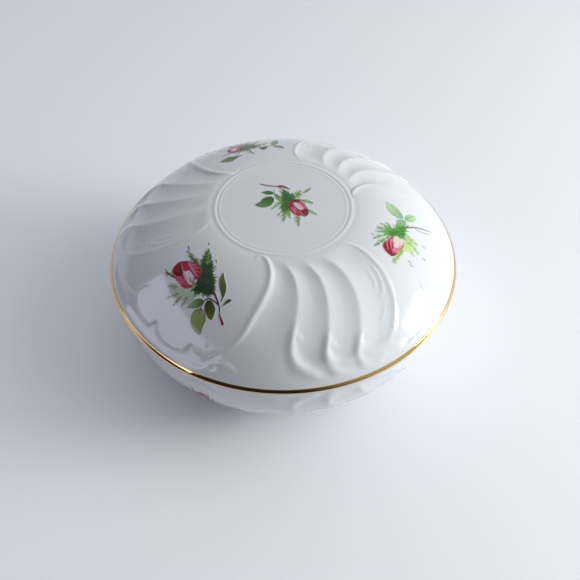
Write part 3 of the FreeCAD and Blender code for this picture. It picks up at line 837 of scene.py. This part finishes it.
def far_rose():
    """Small bud on the left in a fringe of moss, a long leaf below it and two pale leaves on the right."""
    s = Spray(13.5, 13, seed=51)
    for root, tip, width in (((-3.4, 0.0), (-10.4, 0.6), 1.4), ((-4.2, -2.0), (-9.0, -5.4), 1.3),
                             ((-4.4, 3.0), (-8.6, 6.4), 1.3), ((-2.4, 3.6), (-4.4, 8.0), 1.4)):
        s.frond(root, tip, width, OLIVE, SAGE, 40)
    s.moss([(-4.2, 3.4), (-1.6, 3.8), (1.4, 2.6), (3.0, 0.8), (1.6, -1.0), (-1.0, -2.4), (-3.6, -3.0),
            (-3.6, 0.0)], ink(62, 96, 44), ink(128, 160, 98), 70, 90)
    for root, tip, width in (((0.4, 2.4), (3.4, 6.4), 1.6), ((-0.6, -1.8), (2.2, -5.8), 1.5),
                             ((2.4, 0.8), (6.4, 2.8), 1.4), ((-1.6, 3.0), (-0.4, 7.6), 1.5)):
        s.frond(root, tip, width, OLIVE, MOSS_LIGHT, 46)
    s.patch([(-7.2, 1.0), (-6.4, 2.8), (-5.0, 3.6), (-3.4, 2.8), (-2.6, 0.6), (-2.8, -1.8), (-3.8, -3.4),
             (-5.4, -3.6), (-6.8, -2.4), (-7.4, -0.8)], CRIMSON, RED, 20, streaks=0.3, rim=DEEP_RED)
    s.patch([(-6.4, 0.6), (-5.4, 1.8), (-4.2, 1.2), (-4.0, -0.8), (-4.8, -2.2), (-6.0, -1.8)],
             BLUSH * 0.8, BLUSH, 30, streaks=0.25, rim=ROSE)
    s.veins(([(-6.9, 1.2), (-5.6, 2.4), (-4.0, 2.2)], PETAL_LIGHT),
            ([(-3.4, 1.8), (-3.2, -0.4), (-4.2, -2.8)], PETAL_LIGHT),
            ([(-6.6, -1.4), (-5.4, -2.8)], DEEP_RED))
    s.patch([(-1.6, -6.0), (-4.2, -6.7), (-6.2, -6.5), (-7.9, -7.7), (-9.2, -9.4), (-7.6, -10.2),
             (-5.2, -10.0), (-3.8, -8.4)], ink(120, 140, 64), ink(44, 74, 18), 70, rim=OLIVE * 0.7)
    s.patch([(3.6, -1.8), (5.6, -3.0), (6.8, -0.8), (5.2, -0.4)], MOSS_DARK * 1.6, OLIVE, 20)
    s.patch([(8.2, 0.8), (7.8, 3.0), (8.6, 5.6), (10.0, 7.2), (10.4, 4.4), (9.8, 1.6)], ink(124, 158, 92),
             ink(98, 126, 76), 80, streaks=0.2, rim=OLIVE)
    s.patch([(8.4, 0.2), (9.8, 0.6), (11.6, -0.2), (12.6, -1.8), (11.0, -1.8), (9.2, -1.0)],
             ink(134, 164, 96), ink(92, 124, 60), -20, streaks=0.15, rim=OLIVE)
    s.stem([(2.6, 0.4), (5.0, -0.6), (6.4, 0.0), (8.4, 0.4)], 0.26, 0.14, BARK * 1.3)
    s.stem([(-2.6, -3.0), (-3.4, -5.4), (-5.4, -7.8), (-8.0, -9.2)], 0.16, 0.06, OLIVE * 0.6)
    return s


def print_roses():
    """Four sprays on the lid and three smaller ones on the bowl."""
    large, small, pale, far = large_rose(), small_rose(), pale_rose(), far_rose()
    for name, spray, centre in (("rose_medallion", small, (0, 0)), ("rose_left", large, (-25.2, -28.2)),
                                ("rose_right", pale, (36.2, -8.05)), ("rose_back", far, (-12.4, 33.4))):
        spray.mesh(name, lid_surface, centre, 0, 1.0, "lid")
    bowl_spray_out, bowl_spray_size = 43.0, 0.6
    for name, spray, angle in (("rose_bowl_left", large, -119), ("rose_bowl_right", pale, 3),
                               ("rose_bowl_back", large, 123)):
        centre = turned(bowl_spray_out, 0, angle)
        spray.mesh(name, bowl_surface, centre, angle - 120, bowl_spray_size, "bowl")


# ================================================================ stage, light and camera
def area_light(name, energy, color, size, where, target, mirrored=True, shining=True):
    """A rectangular light. Not mirrored, it leaves no patch on the glaze; not shining, it does only that."""
    light = bpy.data.lights.new(name, "AREA")
    light.shape = "RECTANGLE"
    light.energy = energy
    light.color = color
    light.size, light.size_y = size
    obj = bpy.data.objects.new(name, light)
    bpy.context.scene.collection.objects.link(obj)
    obj.location = Vector(where)
    obj.rotation_euler = (Vector(target) - Vector(where)).to_track_quat("-Z", "Y").to_euler()
    obj.visible_glossy = mirrored
    obj.visible_diffuse = shining


def room_light(dark, bright, towards, low, high):
    """Soft surroundings: dim in front of the box, brighter in one direction, changing from low to high."""
    world = bpy.data.worlds.new("room")
    bpy.context.scene.world = world
    world.use_nodes = True
    nodes, links = world.node_tree.nodes, world.node_tree.links
    where = nodes.new("ShaderNodeTexCoord")
    rise = nodes.new("ShaderNodeVectorMath")
    rise.operation = "DOT_PRODUCT"
    rise.inputs[1].default_value = towards
    links.new(where.outputs["Generated"], rise.inputs[0])
    spread = nodes.new("ShaderNodeMapRange")
    spread.interpolation_type = "SMOOTHSTEP"
    spread.inputs["From Min"].default_value = low
    spread.inputs["From Max"].default_value = high
    links.new(rise.outputs["Value"], spread.inputs["Value"])
    color = color_mix(world.node_tree, spread.outputs["Result"], dark, bright)
    links.new(color, nodes["Background"].inputs["Color"])
    nodes["Background"].inputs["Strength"].default_value = 1.0


def build_stage():
    """Pale table, daylight from a window low on the right and a lilac wall mirrored on the left."""
    material, _ = principled("pale_table", (0.92, 0.92, 0.96), 0.6)
    bpy.ops.mesh.primitive_plane_add(size=6, location=(0, 0, 0))
    floor = bpy.context.object
    floor.name = "table"
    floor.data.materials.append(material)
    room_light((0.02, 0.02, 0.022), (0.62, 0.65, 0.69), (0.68, 0.60, 0.42), -0.42, 0.55)
    centre = (0, 0, RIM_UP * MM)
    area_light("window", 2.5, (1.0, 1.0, 0.98), (0.235, 0.112), (0.63, -0.035, 0.185), centre)
    area_light("ceiling", 3.2, (1.0, 1.0, 0.99), (0.7, 0.7), (0.78, -0.06, 0.46), centre,
               mirrored=False)
    area_light("lilac_wall", 1.5, (0.82, 0.76, 1.0), (0.60, 0.32), (-0.56, -0.16, 0.26), centre,
               shining=False)
    area_light("left_fill", 0.4, (0.86, 0.78, 1.0), (0.5, 0.4), (-0.62, -0.05, 0.19), centre,
               mirrored=False)


RIM_RADIUS, RIM_UP = 57.5, SEAT_UP + 1.7      # the circle that the camera is placed from
# angles in degrees, distances in rim radii, focal length in millimetres
CAMERA = {"elevation": 47.91, "roll": -0.31, "across": -0.0385, "rise": 0.2243, "distance": 4.809,
          "focal": 50.9}


def build_camera():
    """Looks down at the lid from the front."""
    e, roll = math.radians(CAMERA["elevation"]), math.radians(CAMERA["roll"])
    back = Vector((0, -math.cos(e), math.sin(e)))
    flat_up = Vector((0, math.sin(e), math.cos(e)))
    side = Vector((1, 0, 0))
    right = math.cos(roll) * side - math.sin(roll) * flat_up
    up = math.sin(roll) * side + math.cos(roll) * flat_up
    offset = CAMERA["distance"] * back - CAMERA["across"] * right - CAMERA["rise"] * up
    camera = bpy.data.cameras.new("camera")
    camera.lens, camera.sensor_width = CAMERA["focal"], 36
    obj = bpy.data.objects.new("camera", camera)
    bpy.context.scene.collection.objects.link(obj)
    turn = Matrix((right, up, back)).transposed().to_4x4()
    obj.matrix_world = Matrix.Translation(Vector((0, 0, RIM_UP * MM)) + offset * RIM_RADIUS * MM) @ turn
    bpy.context.scene.camera = obj


build_lid()
build_bowl()
build_band()
print_roses()
build_stage()
build_camera()
bpy.context.scene.view_settings.view_transform = "Standard"
